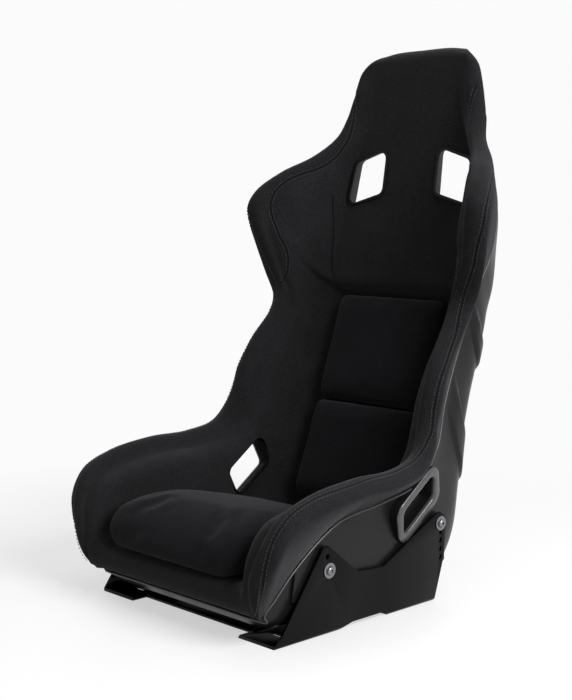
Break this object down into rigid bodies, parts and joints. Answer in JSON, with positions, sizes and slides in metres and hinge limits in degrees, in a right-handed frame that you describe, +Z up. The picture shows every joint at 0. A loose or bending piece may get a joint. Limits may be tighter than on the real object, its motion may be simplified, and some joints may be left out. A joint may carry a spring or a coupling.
{
  "type": "fixed-back bucket racing seat",
  "caption": "Fixed-back bucket racing seat with shoulder wings, lift-off cushions and bent side mount brackets.",
  "frame": {"origin": "centre of the four floor slots, on the floor, under the pan", "axes": "+Z up, +X towards the driver's left, the driver faces -Y"},
  "size_m": [0.556, 0.6364, 0.918],
  "materials": {
    "shell_gelcoat": "satin",
    "foam": "matte",
    "cover_knit": "matte",
    "cushion_knit": "matte",
    "hook_tape": "matte",
    "loop_tape": "matte",
    "trim": "satin",
    "bezel_plastic": "satin",
    "liner_plastic": "satin",
    "bracket_paint": "gloss",
    "spacer_paint": "satin",
    "bolt_steel": "satin",
    "insert_steel": "satin"
  },
  "bodies": {
    "seat": {"shell": "shell_gelcoat", "front_roll_foam": "foam", "base_foam": "foam", "back_foam": "foam", "head_foam": "foam", "crown_roll_foam": "foam", "pan_cover": "cover_knit", "back_cover": "cover_knit", "hem_trim": "trim", "seat_cushion_loop_strips": "loop_tape", "lower_cushion_loop_strips": "loop_tape", "upper_cushion_loop_strips": "loop_tape", "lap_slot_bezel_left": "bezel_plastic", "lap_slot_bezel_right": "bezel_plastic", "shoulder_slot_trim_left": "liner_plastic", "shoulder_slot_trim_right": "liner_plastic", "bracket_left": "bracket_paint", "bracket_right": "bracket_paint", "front_cross_strap": "bracket_paint", "rear_cross_strap": "bracket_paint", "strap_welds": "bracket_paint", "side_bolts": "bolt_steel", "side_washers": "bolt_steel", "side_spacers": "spacer_paint", "shell_inserts": "insert_steel"},
    "seat_cushion": {"seat_cushion": "cushion_knit", "seat_cushion_hook_strips": "hook_tape"},
    "lower_back_cushion": {"lower_back_cushion": "cushion_knit", "lower_cushion_hook_strips": "hook_tape"},
    "upper_back_cushion": {"upper_back_cushion": "cushion_knit", "upper_cushion_hook_strips": "hook_tape"}
  },
  "joints": [
    {"name": "seat_cushion_lift", "type": "slide", "parent": "seat", "child": "seat_cushion", "axis": [0, -0.5, 0.866], "range_m": [0, 0.3]},
    {"name": "lower_back_cushion_lift", "type": "slide", "parent": "seat", "child": "lower_back_cushion", "axis": [0, -0.936, 0.352], "range_m": [0, 0.16]},
    {"name": "upper_back_cushion_lift", "type": "slide", "parent": "seat", "child": "upper_back_cushion", "axis": [0, -0.936, 0.352], "range_m": [0, 0.16]}
  ]
}
